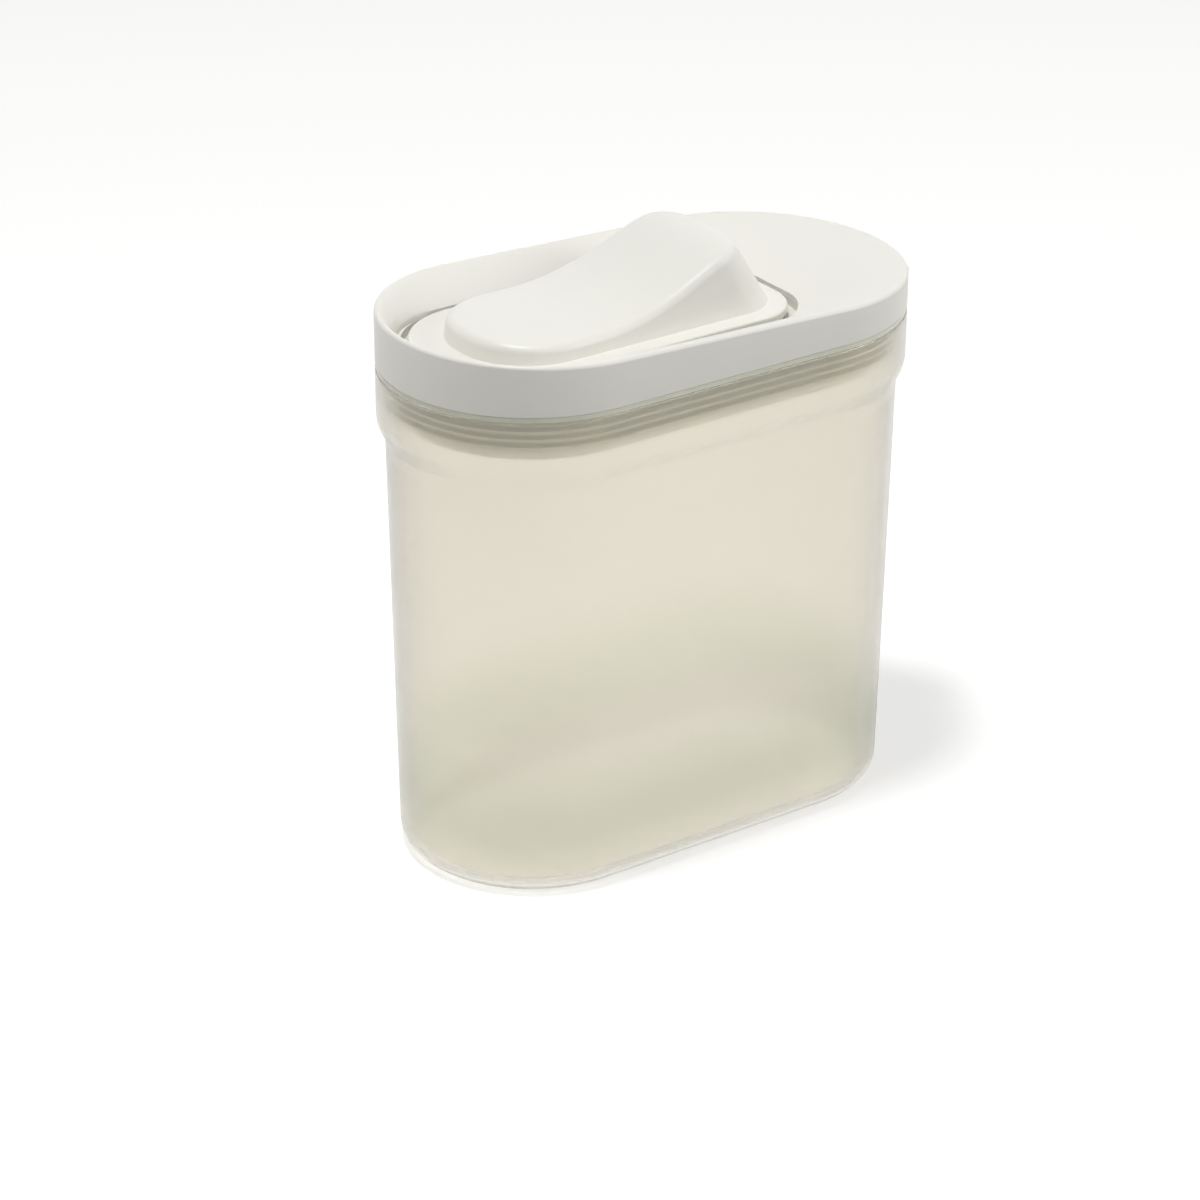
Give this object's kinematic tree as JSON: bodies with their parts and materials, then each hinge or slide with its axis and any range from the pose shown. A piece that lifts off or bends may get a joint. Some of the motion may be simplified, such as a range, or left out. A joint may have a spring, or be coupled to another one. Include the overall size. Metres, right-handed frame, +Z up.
{
  "type": "pet treat container",
  "caption": "Frosted stadium-shaped tub for pet treats with a pull-off sealed lid, whose wedge-shaped paddle lifts a hinged hatch.",
  "frame": {"origin": "centre of the tub's flat base, on the surface it stands on", "axes": "+Z up, +X along the length towards the pull tab, +Y across the width towards the back of the picture"},
  "size_m": [0.1284, 0.0654, 0.1341],
  "materials": {
    "tub_plastic": "frosted translucent",
    "lid_plastic": "satin",
    "frame_plastic": "satin",
    "gasket_rubber": "translucent silicone",
    "pin_steel": "satin"
  },
  "bodies": {
    "tub": {"tub": "tub_plastic"},
    "lid": {"lid_cover": "lid_plastic", "lid_frame": "frame_plastic", "lid_gasket": "gasket_rubber", "hinge_pin": "pin_steel"},
    "hatch": {"hatch_plate": "lid_plastic", "hatch_paddle": "lid_plastic", "hatch_plug": "frame_plastic", "hatch_seal": "gasket_rubber"}
  },
  "joints": [
    {"name": "lid_lift", "type": "slide", "parent": "tub", "child": "lid", "axis": [0, 0, 1], "range_m": [0, 0.04]},
    {"name": "hatch_hinge", "type": "hinge", "parent": "lid", "child": "hatch", "pos_m": [-0.0488, 0, 0.1175], "axis": [0, -1, 0], "range_deg": [0, 80]}
  ]
}
